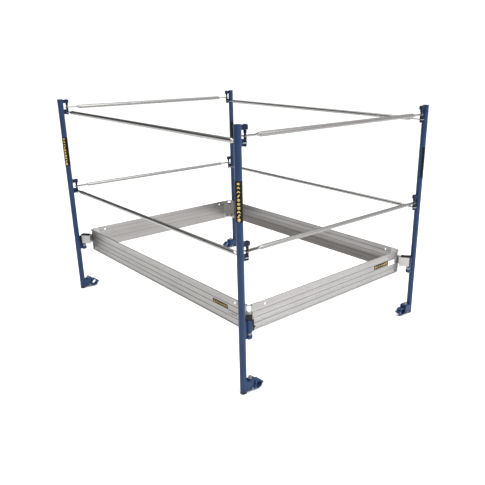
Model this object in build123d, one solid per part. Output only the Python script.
from build123d import *
import math
import os

# Guardrail and toe-board set of a baker scaffold platform. Millimetres, +Z up.
# The origin is on the floor, at the centre of the four guard posts.
# +X runs along the long side and +Y along the short side.
# Corners: front is -Y, rear is +Y, left is -X, right is +X.
# One post is drawn once, in its own frame: the post's axis is the origin, +Y looks along the
# short side to the opposite post. The two rear posts are the same piece turned half a turn.

# ---------------------------------------------------------------- driving dimensions
post_spacing_x = 2020.0
post_spacing_y = 1540.0
post_height = 1454.0
post_diameter = 38.1
post_wall = 2.5

foot_plug_height = 13.0  # what shows below the tube
foot_plug_round = 5.0
plug_stem_length = 25.0
plug_stem_clearance = 0.1
top_plug_recess = 1.5
top_plug_thickness = 6.0

# rail brackets: one set under the post's top, one set at mid height
top_bracket_drop = 4.0  # from the post's top to the top set
mid_bracket_drop = 578.0  # from the top set to the mid set
rail_pin_offset = 46.0  # pin axis from the post axis
hanger_width = 20.0
hanger_plate = 3.5
hanger_cheek_depth = 23.0
hanger_reach = 57.0
guide_radius = 8.0  # the sleeve that guides the locking pin
guide_depth = 39.0
seat_width = 18.0
seat_plate = 3.5
seat_web = 1.5  # between the plates, along the post
seat_reach = 46.0
seat_cheek_end = 34.0  # from the post axis
seat_cheek = 3.0
seat_top_drop = 67.0  # bracket top to the seat's upper face
seat_height = 33.0
boss_radius = 7.5
weld_overlap = 8.0  # how far a bracket wraps round the post

rail_pin_radius = 6.0
rail_pin_fit = 0.05
rail_pin_head_radius = 9.0
rail_pin_head_height = 2.5
rail_pin_tip = 4.0  # below the seat
rail_pin_tip_chamfer = 2.0

# rails
rail_diameter = 25.4
rail_wall = 1.8
rail_flat_thickness = 5.0
rail_flat_length = 66.0  # from the pin to the start of the swage
rail_tip_length = 14.0  # from the pin to the rail's end
rail_swage_length = 28.0
rail_swage_step = 0.3  # a swage ends this far inside the flat
rail_hole_clearance = 0.5
rail_drain_radius = 2.5
short_rail_drop = 53.0  # bracket top to the short rail's axis
short_flat_width = 36.0
long_rail_drop = 84.0
long_rail_gap = 2.45  # a long rail's flat from the post
long_flat_width = 33.0

# toe boards
toe_corner_inset_x = 48.0  # outer face of an end board from the post axes
toe_corner_inset_y = 85.0  # outer face of a side board from the post axes
toe_bottom = 323.0
toe_height = 160.0
toe_web = 4.0
toe_rim_depth = 4.0  # how far the rims stand out of the web
toe_top_rim = 13.0
toe_bottom_rim = 8.0
toe_rim_round = 2.0
toe_groove_count = 3
toe_groove_width = 5.0
toe_groove_depth = 2.0
toe_inner_groove_depth = 0.8
toe_line_pitch = 7.0  # fine lines between the grooves, on the outer face
toe_line_width = 1.6
toe_line_depth = 0.5
toe_end_gap = 26.0  # board end from the corner
toe_handling_hole_radius = 7.0
toe_handling_hole_inset = 125.0
toe_handling_hole_drop = 24.0

# toe board corners
angle_plate = 3.0
angle_leg = 66.0
angle_window_width = 20.0  # on each leg
angle_window_height = 32.0
angle_window_drop = 8.0
toe_rivet_inset = 46.0  # from the corner
toe_bolt_inset = 36.0
toe_bolt_radius = 3.0
toe_bolt_height = 22.0  # above the board's bottom
toe_bolt_head_radius = 7.5
toe_nut_radius = 6.0
toe_bolt_head_height = 4.0
toe_nut_height = 5.0
toe_bolt_stub = 2.0
toe_rivet_radius = 2.4
toe_rivet_head_radius = 4.5
toe_rivet_head_height = 1.6
toe_rivet_heights = (75.0, 112.0)
gusset_plate = 5.0
gusset_depth = 45.0
gusset_gap = 4.0  # from the receiver

# hangers that drop into the posts' receivers
receiver_offset = 48.0  # from the post axis
receiver_radius = 18.0
receiver_bore = 14.0
receiver_slot = 13.0
receiver_sleeve_top = 430.0
receiver_sleeve_bottom = 358.0
receiver_ring_top = 342.0
receiver_ring_bottom = 325.0
receiver_web = 8.0
toe_pin_clearance = 0.5
toe_pin_below = 7.0
toe_pin_chamfer = 3.0
toe_seat_gap = 0.3
hook_width = 46.0
hook_plate = 4.0
hook_flange_depth = 60.0
hook_flange_start = 4.0  # from the corner
hook_flange_past = 2.0  # past the receiver's axis
hook_side_rib = 1.5
hook_side_ribs = (16.0, 34.0, 52.0)  # from the corner
cap_start = 16.0  # from the corner
cap_edge = 7.0  # past the flanges' ends
cap_leg_out = 4.0  # past the flanges' outer faces
cap_rib_count = 4
cap_rib_width = 3.0
cap_rib_height = 6.0
cap_rib_pitch = 11.0

# tube clamps at the posts' feet: the clamped tube runs along X
clamp_tube_diameter = 38.1
clamp_bore_clearance = 0.25
clamp_tube_offset = 90.0  # from the post axis
clamp_tube_height = 33.0
clamp_wall = 6.7
clamp_width = 38.0
clamp_side_shift = 7.0  # centre of the clamp's width from the post axis
clamp_parting_gap = 0.4
arm_width = 38.0
arm_plate = 4.0
arm_reach = 66.0
arm_bottom = 13.0
arm_top = 69.0
arm_block = 5.0
flap_hinge_offset = 29.5  # from the tube axis
flap_knuckle_radius = 6.5
flap_hinge_radius = 3.0
flap_hinge_fit = 0.05
flap_knuckle_width = 16.0
flap_knuckle_gap = 0.4
flap_hinge_head_radius = 5.0
flap_hinge_head_height = 2.5
flap_lug_plate = 6.5
flap_lug_gap = 0.4
flap_lug_reach = 15.0  # past the bolt, towards the post
flap_riser = 6.0
flap_slot_clearance = 0.9
clamp_bolt_offset = 48.0  # from the post axis
clamp_bolt_radius = 6.0
clamp_bolt_hole_clearance = 0.6
clamp_bolt_stub = 4.0
clamp_eye_radius = 10.0
clamp_eye_width = 14.0
clamp_eye_height = 20.0
cross_pin_radius = 4.0
cross_pin_stub = 6.0
cross_pin_head_radius = 6.5
cross_pin_head_height = 4.0
nut_across_flats = 19.0
nut_height = 10.0
nut_flange_radius = 13.0
nut_flange_height = 3.0
nut_seat_gap = 0.3
nut_fit = 0.05

# labels
label_thickness = 0.4
post_label_rise = 112.0  # above the top of the mid brackets
post_label_length = 205.0
post_label_sweep = 200.0  # degrees round the post
# board, distance from the board's middle, length, distance above the board's bottom, height
board_labels = (
    ("front", 632.0, 140.0, 75.0, 27.0),
    ("front", 780.0, 71.0, 56.0, 24.0),
    ("right", 403.0, 148.0, 82.0, 27.0),
    ("right", 554.0, 69.0, 72.0, 32.0),
)

# ---------------------------------------------------------------- derived places
post_radius = post_diameter / 2
post_bore = post_radius - post_wall
rail_radius = rail_diameter / 2
long_rail_offset = post_radius + long_rail_gap + long_flat_width / 2  # from the post axis
top_bracket = post_height - top_bracket_drop
bracket_tops = (top_bracket, top_bracket - mid_bracket_drop)
post_label_bottom = bracket_tops[1] + post_label_rise
toe_top = toe_bottom + toe_height
toe_half_x = post_spacing_x / 2 - toe_corner_inset_x
toe_half_y = post_spacing_y / 2 - toe_corner_inset_y
toe_depth = toe_web + toe_rim_depth
tab_bottom = receiver_sleeve_top + toe_seat_gap
toe_pin_radius = receiver_bore - toe_pin_clearance
clamp_bore = clamp_tube_diameter / 2 + clamp_bore_clearance
clamp_outer = clamp_bore + clamp_wall
flap_hinge_y = clamp_tube_offset + flap_hinge_offset
lug_bottom = arm_top + flap_lug_gap
lug_top = lug_bottom + flap_lug_plate
nut_bottom = lug_top + nut_seat_gap
nut_top = nut_bottom + nut_flange_height + nut_height

corners = {
    "front_left": (-1, -1),
    "front_right": (1, -1),
    "rear_right": (1, 1),
    "rear_left": (-1, 1),
}


def bar(x0, x1, y0, y1, z0, z1):
    """A box between two corners."""
    middle = Pos((x0 + x1) / 2, (y0 + y1) / 2, (z0 + z1) / 2)
    return middle * Box(x1 - x0, y1 - y0, z1 - z0)


def rod(radius, z0, z1, x=0.0, y=0.0):
    """An upright cylinder."""
    return Pos(x, y, (z0 + z1) / 2) * Cylinder(radius, z1 - z0)


def rod_x(radius, x0, x1, y, z):
    """A cylinder along X."""
    return Pos((x0 + x1) / 2, y, z) * Rot(0, 90, 0) * Cylinder(radius, x1 - x0)


def at_post(name):
    """The place of a post's own frame."""
    side, end = corners[name]
    turn = 0 if end < 0 else 180
    return Pos(side * post_spacing_x / 2, end * post_spacing_y / 2, 0) * Rot(0, 0, turn)


def post_round(z0, z1):
    """The room that the post's tube takes, to shape what is welded to it."""
    return rod(post_radius, z0, z1)


# ---------------------------------------------------------------- posts
def make_post():
    tube = rod(post_radius, foot_plug_height, post_height)
    return tube - rod(post_bore, foot_plug_height, post_height)


def make_foot_plug():
    cap = rod(post_radius, 0, foot_plug_height)
    cap = fillet(cap.edges().group_by(Axis.Z)[0], foot_plug_round)
    stem_top = foot_plug_height + plug_stem_length
    return cap + rod(post_bore - plug_stem_clearance, foot_plug_height / 2, stem_top)


def make_top_plug():
    top = post_height - top_plug_recess
    disc = rod(post_bore, top - top_plug_thickness, top)
    return fillet(disc.edges().group_by(Axis.Z)[-1], 1.0)


# ---------------------------------------------------------------- rail brackets
def make_hanger(top):
    """The inverted channel at a bracket's top, with the sleeve that guides the locking pin."""
    half = hanger_width / 2
    start = post_radius - weld_overlap
    cheek_bottom = top - hanger_cheek_depth
    hanger = bar(-half, half, start, hanger_reach, cheek_bottom, top)
    hollow = half - hanger_plate
    hanger -= bar(-hollow, hollow, start, hanger_reach - hanger_plate, cheek_bottom,
                  top - hanger_plate)
    hanger += rod(guide_radius, top - guide_depth, top, y=rail_pin_offset)
    hanger -= post_round(cheek_bottom, top)
    return hanger - rod(rail_pin_radius + rail_pin_fit, top - guide_depth, top, y=rail_pin_offset)


def make_seat(top):
    """The channel below the hanger: the long rail goes in it, the short rail lies on it."""
    half = seat_width / 2
    z1 = top - seat_top_drop
    z0 = z1 - seat_height
    start = post_radius - weld_overlap
    web_end = post_radius + seat_web
    hollow = half - seat_cheek
    seat = bar(-half, half, start, seat_reach, z0, z1)
    seat -= bar(-half, half, seat_cheek_end, seat_reach, z0 + seat_plate, z1 - seat_plate)
    seat -= bar(-hollow, hollow, web_end, seat_reach, z0 + seat_plate, z1 - seat_plate)
    seat += rod(boss_radius, z0, top - short_rail_drop - rail_flat_thickness / 2,
                y=rail_pin_offset)
    half_slot = rail_flat_thickness / 2
    slot_z = top - long_rail_drop
    seat -= bar(-half, half, web_end, hanger_reach, slot_z - half_slot, slot_z + half_slot)
    seat -= post_round(z0, z1)
    return seat - rod(rail_pin_radius + rail_pin_fit, z0, top, y=rail_pin_offset)


def make_rail_pin(top):
    tip = top - seat_top_drop - seat_height - rail_pin_tip
    pin = rod(rail_pin_radius, tip, top + rail_pin_head_height / 2)
    pin = chamfer(pin.edges().group_by(Axis.Z)[0], rail_pin_tip_chamfer)
    head = rod(rail_pin_head_radius, top, top + rail_pin_head_height)
    head = fillet(head.edges().group_by(Axis.Z)[-1], rail_pin_head_height / 3)
    return Pos(0, rail_pin_offset, 0) * (pin + head)


# ---------------------------------------------------------------- rails
def make_rail(pin_distance, flat_width, hole_shift):
    """A tube along X between two pins, flattened and drilled at both ends.

    hole_shift is how far the pin holes lie off the tube's axis, along Y."""
    end = pin_distance / 2
    flat_start = end - rail_flat_length
    swage_start = flat_start - rail_swage_length
    tip = end + rail_tip_length
    flat_oval = Ellipse(flat_width / 2 - rail_swage_step, rail_flat_thickness / 2 - rail_swage_step)
    flat_section = RectangleRounded(flat_width, rail_flat_thickness, rail_flat_thickness / 2 - 0.1)
    rail = rod_x(rail_radius, -swage_start, swage_start, 0, 0)
    for side in (-1, 1):
        near = Plane(origin=(side * swage_start, 0, 0), x_dir=(0, 1, 0), z_dir=(side, 0, 0))
        far = Plane(origin=(side * flat_start, 0, 0), x_dir=(0, 1, 0), z_dir=(side, 0, 0))
        rail += loft([near * Circle(rail_radius), far * flat_oval])
        x0, x1 = sorted((side * flat_start, side * tip))
        outline = bar(x0, x1, -flat_width / 2, flat_width / 2, -rail_radius, rail_radius)
        tip_edges = outline.edges().filter_by(Axis.Z).group_by(Axis.X)[-1 if side > 0 else 0]
        outline = fillet(tip_edges, flat_width / 2 - 4)
        rail += extrude(far * flat_section, tip - flat_start) & outline
        rail -= rod(rail_pin_radius + rail_hole_clearance, -rail_radius, rail_radius,
                    side * end, hole_shift)
        drain = side * (swage_start - rail_diameter)
        rail -= rod(rail_drain_radius, -rail_diameter, 0, drain, 0)
    return rail - rod_x(rail_radius - rail_wall, -swage_start, swage_start, 0, 0)


def make_long_rail(end, top):
    """The long rail of the front (end -1) or rear (end +1) side."""
    hole_shift = end * (long_rail_offset - rail_pin_offset)
    rail = make_rail(post_spacing_x, long_flat_width, hole_shift)
    y = end * (post_spacing_y / 2 - long_rail_offset)
    return Pos(0, y, top - long_rail_drop) * rail


def make_short_rail(side, top):
    """The short rail of the left (side -1) or right (side +1) end."""
    rail = make_rail(post_spacing_y - 2 * rail_pin_offset, short_flat_width, 0)
    return Pos(side * post_spacing_x / 2, 0, top - short_rail_drop) * Rot(0, 0, 90) * rail


# ---------------------------------------------------------------- toe boards
def toe_section():
    """The extrusion's section: X is outwards from the inner face, Y is up from the bottom."""
    web = Pos(toe_web / 2, toe_height / 2) * Rectangle(toe_web, toe_height)
    section = web
    for rim, middle in ((toe_top_rim, toe_height - toe_top_rim / 2),
                        (toe_bottom_rim, toe_bottom_rim / 2)):
        section += Pos(toe_depth / 2, middle) * RectangleRounded(toe_depth, rim, toe_rim_round)
    section += web  # the rims are round on their outer side only
    band = (toe_height - toe_top_rim - toe_bottom_rim) / (toe_groove_count + 1)
    for index in range(toe_groove_count):
        y = toe_bottom_rim + band * (index + 1)
        outer = Rectangle(toe_groove_depth, toe_groove_width)
        section -= Pos(toe_web - toe_groove_depth / 2, y) * outer
        inner = Rectangle(toe_inner_groove_depth, toe_groove_width)
        section -= Pos(toe_inner_groove_depth / 2, y + band / 2) * inner
    for index in range(toe_groove_count + 1):
        y = toe_bottom_rim + band * (index + 0.5)
        for step in (-toe_line_pitch, 0, toe_line_pitch):
            line = Rectangle(toe_line_depth, toe_line_width)
            section -= Pos(toe_web - toe_line_depth / 2, y + step) * line
    return section


def make_toe_board(half_length):
    """A board along X, its inner face on Y 0 and its rims towards -Y."""
    length = 2 * (half_length - toe_end_gap)
    plane = Plane(origin=(length / 2, 0, toe_bottom), x_dir=(0, -1, 0), z_dir=(-1, 0, 0))
    board = extrude(plane * toe_section(), length)
    hole_z = toe_top - toe_handling_hole_drop
    for side in (-1, 1):
        x = side * (half_length - toe_handling_hole_inset)
        board -= fastener_hole(x, hole_z, toe_handling_hole_radius)
        x = side * (half_length - toe_depth - toe_bolt_inset)
        board -= fastener_hole(x, toe_bottom + toe_bolt_height, toe_bolt_radius)
        x = side * (half_length - toe_depth - toe_rivet_inset)
        for height in toe_rivet_heights:
            board -= fastener_hole(x, toe_bottom + height, toe_rivet_radius)
    return board


def fastener_hole(x, z, radius):
    """A cutter along Y through a board or an angle's leg."""
    return Pos(x, 0, z) * Rot(90, 0, 0) * Cylinder(radius, 8 * toe_depth)


def place_board(board, name):
    inner_x = toe_half_x - toe_depth
    inner_y = toe_half_y - toe_depth
    places = {
        "front": Pos(0, -inner_y, 0),
        "rear": Pos(0, inner_y, 0) * Rot(0, 0, 180),
        "left": Pos(-inner_x, 0, 0) * Rot(0, 0, -90),
        "right": Pos(inner_x, 0, 0) * Rot(0, 0, 90),
    }
    return places[name] * board


# ---------------------------------------------------------------- toe board corners
# Drawn for the front right corner and mirrored to the others: the origin is the inner faces'
# corner, the boards run towards -X and +Y, and the receiver lies towards +X and -Y.
reach_x = toe_corner_inset_x + toe_depth
reach_y = toe_corner_inset_y + toe_depth - receiver_offset
reach = math.hypot(reach_x, reach_y)
reach_angle = math.degrees(math.atan2(-reach_y, reach_x))


def at_toe_corner(part, name):
    side, end = corners[name]
    if side < 0:
        part = mirror(part, Plane.YZ)
    if end > 0:
        part = mirror(part, Plane.XZ)
    return Pos(side * (toe_half_x - toe_depth), end * (toe_half_y - toe_depth), 0) * part


def make_toe_angle():
    """The bent angle inside the corner, with its gusset out to the hanger."""
    angle = bar(-angle_leg, 0, 0, angle_plate, toe_bottom, toe_top)
    angle += bar(-angle_plate, 0, 0, angle_leg, toe_bottom, toe_top)
    window_top = toe_top - angle_window_drop
    angle -= bar(-angle_window_width, 1, -1, angle_window_width, window_top - angle_window_height,
                 window_top)
    for cutter in angle_cutters():
        angle -= cutter
    gusset_end = reach - receiver_radius - gusset_gap
    gusset = bar(-2 * angle_plate, gusset_end, -gusset_plate / 2, gusset_plate / 2,
                 tab_bottom - gusset_depth, tab_bottom)
    gusset = Rot(0, 0, reach_angle) * gusset
    inside = bar(-angle_leg, -angle_plate, angle_plate, angle_leg, toe_bottom, toe_top)
    return angle + (gusset - inside)


def angle_cutters():
    """The holes of both legs for the corner's bolts and rivets."""
    cutters = []
    holes = [(toe_bolt_inset, toe_bolt_height, toe_bolt_radius)]
    holes += [(toe_rivet_inset, height, toe_rivet_radius) for height in toe_rivet_heights]
    for inset, height, radius in holes:
        along_x = fastener_hole(-inset, toe_bottom + height, radius)
        cutters.append(along_x)
        cutters.append(mirror_legs(along_x))
    return cutters


def mirror_legs(part):
    """Moves a piece of the leg along -X to the same place on the leg along +Y."""
    return mirror(part, Plane(origin=(0, 0, 0), z_dir=(1, 1, 0)))


def make_toe_hanger():
    """The channel that reaches out from the corner and straddles the post's receiver."""
    half = hook_width / 2
    flange_end = reach + hook_flange_past
    low, high = tab_bottom - hook_flange_depth, tab_bottom + hook_plate
    hook = bar(-angle_plate, cap_start, -half, half, tab_bottom, high)
    for side in (-1, 1):
        y0, y1 = sorted((side * (half - hook_plate), side * half))
        hook += bar(hook_flange_start, flange_end, y0, y1, low, high)
        y0, y1 = sorted((side * half, side * (half + hook_side_rib)))
        for x in hook_side_ribs:
            hook += bar(x, x + 2 * hook_side_rib, y0, y1, low, high)
    inside = bar(-angle_leg, 0, 0, angle_leg, toe_bottom, toe_top)
    return Rot(0, 0, reach_angle) * hook - inside


def make_hanger_cap():
    """The ribbed cap that closes the channel's end over the receiver."""
    half = hook_width / 2
    flange_end = reach + hook_flange_past
    end = flange_end + cap_edge
    low, high = tab_bottom - hook_flange_depth, tab_bottom + hook_plate
    gap = half - hook_plate
    leg_out = half + cap_leg_out
    cap = bar(cap_start, end, -gap, gap, tab_bottom, high)
    cap += bar(flange_end, end, -leg_out, leg_out, tab_bottom, high)
    for side in (-1, 1):
        y0, y1 = sorted((side * gap, side * leg_out))
        cap += bar(flange_end, end, y0, y1, low, high)
    for index in range(cap_rib_count):
        y = (index - (cap_rib_count - 1) / 2) * cap_rib_pitch
        cap += bar(cap_start, end, y - cap_rib_width / 2, y + cap_rib_width / 2, tab_bottom,
                   high + cap_rib_height)
    return Rot(0, 0, reach_angle) * cap


def make_toe_pin():
    pin = rod(toe_pin_radius, receiver_ring_bottom - toe_pin_below, tab_bottom)
    pin = chamfer(pin.edges().group_by(Axis.Z)[0], toe_pin_chamfer)
    return Pos(reach_x, -reach_y, 0) * pin


def make_toe_bolt():
    """Bolt and nut of the leg along -X: the head is outside, the nut inside."""
    place = (-toe_bolt_inset, toe_bottom + toe_bolt_height)
    outside = -toe_web
    inside = angle_plate
    nut_end = inside + toe_nut_height
    shank = cylinder_y(toe_bolt_radius, outside - toe_bolt_head_height / 2, nut_end + toe_bolt_stub,
                       place)
    head = cylinder_y(toe_bolt_head_radius, outside - toe_bolt_head_height, outside, place)
    nut = hexagon_y(toe_nut_radius, inside, nut_end, place)
    nut -= cylinder_y(toe_bolt_radius, inside, nut_end, place)
    return [shank + head, nut]


def make_toe_rivets():
    rivets = []
    for height in toe_rivet_heights:
        place = (-toe_rivet_inset, toe_bottom + height)
        rivet = cylinder_y(toe_rivet_radius, -toe_web, angle_plate, place)
        for face, way in ((-toe_web, -1), (angle_plate, 1)):
            y0, y1 = sorted((face, face + way * toe_rivet_head_height))
            rivet += cylinder_y(toe_rivet_head_radius, y0, y1, place)
        rivets.append(rivet)
    return rivets


def cylinder_y(radius, y0, y1, place):
    x, z = place
    return Pos(x, (y0 + y1) / 2, z) * Rot(90, 0, 0) * Cylinder(radius, y1 - y0)


def hexagon_y(radius, y0, y1, place):
    x, z = place
    plane = Plane(origin=(x, y1, z), x_dir=(1, 0, 0), z_dir=(0, -1, 0))
    return extrude(plane * RegularPolygon(radius, 6), y1 - y0)


# ---------------------------------------------------------------- receivers
def make_receiver():
    """The slotted sleeve and the ring below it, on a web welded to the post."""
    sleeve = rod(receiver_radius, receiver_sleeve_bottom, receiver_sleeve_top, y=receiver_offset)
    ring = rod(receiver_radius, receiver_ring_bottom, receiver_ring_top, y=receiver_offset)
    web = bar(-receiver_web / 2, receiver_web / 2, post_radius - 2, receiver_offset,
              receiver_ring_bottom, receiver_sleeve_top)
    receiver = sleeve + ring + web
    receiver -= rod(receiver_bore, receiver_ring_bottom, receiver_sleeve_top, y=receiver_offset)
    receiver -= post_round(receiver_ring_bottom, receiver_sleeve_top)
    slot_end = receiver_offset + receiver_radius + 1
    receiver -= bar(-receiver_slot / 2, receiver_slot / 2, receiver_offset, slot_end,
                    receiver_sleeve_bottom, receiver_sleeve_top)
    return receiver


# ---------------------------------------------------------------- tube clamps
clamp_x0 = clamp_side_shift - clamp_width / 2
clamp_x1 = clamp_side_shift + clamp_width / 2
knuckle_x0 = clamp_side_shift - flap_knuckle_width / 2
knuckle_x1 = clamp_side_shift + flap_knuckle_width / 2


def clamp_ring():
    ring = rod_x(clamp_outer, clamp_x0, clamp_x1, clamp_tube_offset, clamp_tube_height)
    return ring - rod_x(clamp_bore, clamp_x0, clamp_x1, clamp_tube_offset, clamp_tube_height)


def knuckle(x0, x1, grow=0.0):
    return rod_x(flap_knuckle_radius + grow, x0, x1, flap_hinge_y, clamp_tube_height)


def hinge_bore():
    radius = flap_hinge_radius + flap_hinge_fit
    return rod_x(radius, clamp_x0, clamp_x1, flap_hinge_y, clamp_tube_height)


def make_clamp_arm():
    """The channel welded to the post, with the clamp's fixed lower jaw at its end."""
    half = arm_width / 2
    start = post_radius - weld_overlap
    arm = bar(-half, half, start, arm_reach, arm_top - arm_plate, arm_top)
    for side in (-1, 1):
        x0, x1 = sorted((side * (half - arm_plate), side * half))
        arm += bar(x0, x1, start, arm_reach, arm_bottom, arm_top)
    floor_z = clamp_tube_height
    block_end = clamp_tube_offset - clamp_bore
    arm += bar(-half, clamp_x1, arm_reach - arm_block, block_end, arm_bottom, floor_z)
    jaw = clamp_ring() & bar(clamp_x0, clamp_x1, 0, 2 * clamp_tube_offset, 0, floor_z)
    arm += jaw
    arm -= rod_x(clamp_bore, clamp_x0 - half, clamp_x1, clamp_tube_offset, clamp_tube_height)
    gap_x0 = knuckle_x0 - flap_knuckle_gap
    gap_x1 = knuckle_x1 + flap_knuckle_gap
    arm += knuckle(clamp_x0, gap_x0) + knuckle(gap_x1, clamp_x1)
    arm -= knuckle(gap_x0, gap_x1, flap_knuckle_gap)
    arm -= hinge_bore()
    arm -= post_round(0, 2 * arm_top)
    hole = clamp_bolt_radius + clamp_bolt_hole_clearance
    arm -= rod(hole, arm_top - arm_plate, arm_top, y=clamp_bolt_offset)
    return arm - rod_x(cross_pin_radius, -half, half, clamp_bolt_offset, clamp_eye_height)


def make_clamp_flap():
    """The upper jaw, hinged at its outer end, with the lug that the nut holds down."""
    floor_z = clamp_tube_height + clamp_parting_gap
    riser_start = arm_reach + flap_lug_gap
    riser_end = riser_start + flap_riser
    upper_half = bar(clamp_x0, clamp_x1, riser_start, 2 * clamp_tube_offset, floor_z, 2 * arm_top)
    flap = clamp_ring() & upper_half
    flap += bar(clamp_x0, clamp_x1, riser_start, riser_end, floor_z, lug_top)
    lug_start = clamp_bolt_offset - flap_lug_reach
    half = nut_flange_radius + 1
    flap += bar(-half, clamp_x1, lug_start, riser_end, lug_bottom, lug_top)
    flap -= rod_x(clamp_bore, clamp_x0, clamp_x1, clamp_tube_offset, clamp_tube_height)
    slot = clamp_bolt_radius + flap_slot_clearance
    flap -= rod(slot, lug_bottom, lug_top, y=clamp_bolt_offset)
    flap -= bar(-slot, slot, lug_start, clamp_bolt_offset, lug_bottom, lug_top)
    flap += knuckle(knuckle_x0, knuckle_x1)
    flap -= knuckle(clamp_x0, knuckle_x0, flap_knuckle_gap)
    flap -= knuckle(knuckle_x1, clamp_x1, flap_knuckle_gap)
    return flap - hinge_bore()


def make_clamp_hinge_pin():
    y, z = flap_hinge_y, clamp_tube_height
    head = flap_hinge_head_height
    pin = rod_x(flap_hinge_radius, clamp_x0 - head / 2, clamp_x1 + head / 2, y, z)
    pin += rod_x(flap_hinge_head_radius, clamp_x0 - head, clamp_x0, y, z)
    return pin + rod_x(flap_hinge_head_radius, clamp_x1, clamp_x1 + head, y, z)


def make_clamp_bolt():
    """The eye bolt that stands in the arm and carries the nut."""
    top = nut_top + clamp_bolt_stub
    bolt = rod(clamp_bolt_radius, clamp_eye_height, top, y=clamp_bolt_offset)
    bolt = chamfer(bolt.edges().group_by(Axis.Z)[-1], 1.0)
    half = clamp_eye_width / 2
    bolt += rod_x(clamp_eye_radius, -half, half, clamp_bolt_offset, clamp_eye_height)
    return bolt - rod_x(cross_pin_radius, -half, half, clamp_bolt_offset, clamp_eye_height)


def make_cross_pin():
    half = arm_width / 2 + cross_pin_stub
    pin = rod_x(cross_pin_radius, -half, half, clamp_bolt_offset, clamp_eye_height)
    for side in (-1, 1):
        x0, x1 = sorted((side * arm_width / 2, side * (arm_width / 2 + cross_pin_head_height)))
        pin += rod_x(cross_pin_head_radius, x0, x1, clamp_bolt_offset, clamp_eye_height)
    return pin


def make_clamp_nut():
    flange_top = nut_bottom + nut_flange_height
    nut = rod(nut_flange_radius, nut_bottom, flange_top)
    nut = chamfer(nut.edges().group_by(Axis.Z)[-1], 1.2)
    hexagon = RegularPolygon(nut_across_flats / 2, 6, major_radius=False)
    nut += Pos(0, 0, flange_top) * extrude(hexagon, nut_height)
    nut -= rod(clamp_bolt_radius + nut_fit, nut_bottom, nut_top)
    return Pos(0, clamp_bolt_offset, 0) * nut


# ---------------------------------------------------------------- labels
def make_post_label(turn):
    """A thin wrap round part of a post, its middle facing turn degrees from +X."""
    z0 = post_label_bottom
    z1 = z0 + post_label_length
    wrap = rod(post_radius + label_thickness, z0, z1) - rod(post_radius, z0, z1)
    wedge = extrude(sector(2 * post_diameter, post_label_sweep), post_label_length)
    return wrap & (Rot(0, 0, turn) * Pos(0, 0, z0) * wedge)


def sector(radius, sweep):
    """A pie slice about the origin, its middle along +X."""
    half = math.radians(sweep / 2)
    start = (radius * math.cos(half), -radius * math.sin(half))
    end = (radius * math.cos(half), radius * math.sin(half))
    arc = ThreePointArc(start, (radius, 0), end)
    return make_face([Line((0, 0), start), arc, Line(end, (0, 0))])


def make_board_label(x0, length, z, height):
    """A plate on the outer face of the board along X, between its rims."""
    return bar(x0, x0 + length, -toe_web - label_thickness, -toe_web, z, z + height)


# ---------------------------------------------------------------- writing
def write(name, solids):
    parts = solids if isinstance(solids, list) else [solids]
    flat = [solid for part in parts for solid in part.solids()]
    shape = flat[0] if len(flat) == 1 else Compound(children=flat)
    shape.label = name
    export_step(shape, f"parts/{name}.step")


def write_posts():
    post = make_post()
    brackets = [make(top) for top in bracket_tops for make in (make_hanger, make_seat)]
    receiver = make_receiver()
    arm = make_clamp_arm()
    flap = make_clamp_flap()
    nut = make_clamp_nut()
    levels = dict(zip(("top", "mid"), bracket_tops))
    for name in corners:
        place = at_post(name)
        write(f"post_{name}", place * post)
        write(f"rail_brackets_{name}", [place * bracket for bracket in brackets])
        write(f"toe_board_receiver_{name}", place * receiver)
        write(f"clamp_arm_{name}", place * arm)
        write(f"clamp_flap_{name}", place * flap)
        write(f"clamp_nut_{name}", place * nut)
        for level, top in levels.items():
            write(f"{level}_rail_pin_{name}", place * make_rail_pin(top))
    shared = {
        "post_foot_plugs": make_foot_plug(),
        "post_top_plugs": make_top_plug(),
        "clamp_bolts": make_clamp_bolt(),
        "clamp_cross_pins": make_cross_pin(),
        "clamp_hinge_pins": make_clamp_hinge_pin(),
    }
    for name, piece in shared.items():
        write(name, [at_post(corner) * piece for corner in corners])


def write_rails():
    for level, top in zip(("top", "mid"), bracket_tops):
        write(f"{level}_rail_front", make_long_rail(-1, top))
        write(f"{level}_rail_rear", make_long_rail(1, top))
        write(f"{level}_rail_left", make_short_rail(-1, top))
        write(f"{level}_rail_right", make_short_rail(1, top))


def write_toe_boards():
    for name, half_length in (("front", toe_half_x), ("rear", toe_half_x),
                              ("left", toe_half_y), ("right", toe_half_y)):
        write(f"toe_board_{name}", place_board(make_toe_board(half_length), name))
    angle = make_toe_angle()
    for name in corners:
        write(f"toe_board_corner_{name}", at_toe_corner(angle, name))
    bolts = make_toe_bolt()
    rivets = make_toe_rivets()
    groups = {
        "toe_board_hangers": [make_toe_hanger()],
        "toe_board_hanger_caps": [make_hanger_cap()],
        "toe_board_hanger_pins": [make_toe_pin()],
        "toe_board_bolts": bolts + [mirror_legs(piece) for piece in bolts],
        "toe_board_rivets": rivets + [mirror_legs(piece) for piece in rivets],
    }
    for name, pieces in groups.items():
        write(name, [at_toe_corner(piece, corner) for corner in corners for piece in pieces])


def write_labels():
    wraps = []
    for name, (side, end) in corners.items():
        place = Pos(side * post_spacing_x / 2, end * post_spacing_y / 2, 0)
        wraps.append(place * make_post_label(end * 45))
    write("post_labels", wraps)
    plates = []
    for board, start, length, rise, height in board_labels:
        label = make_board_label(start, length, toe_bottom + rise, height)
        plates.append(place_board(label, board))
    write("toe_board_labels", plates)


def main():
    os.makedirs("parts", exist_ok=True)
    write_posts()
    write_rails()
    write_toe_boards()
    write_labels()


main()
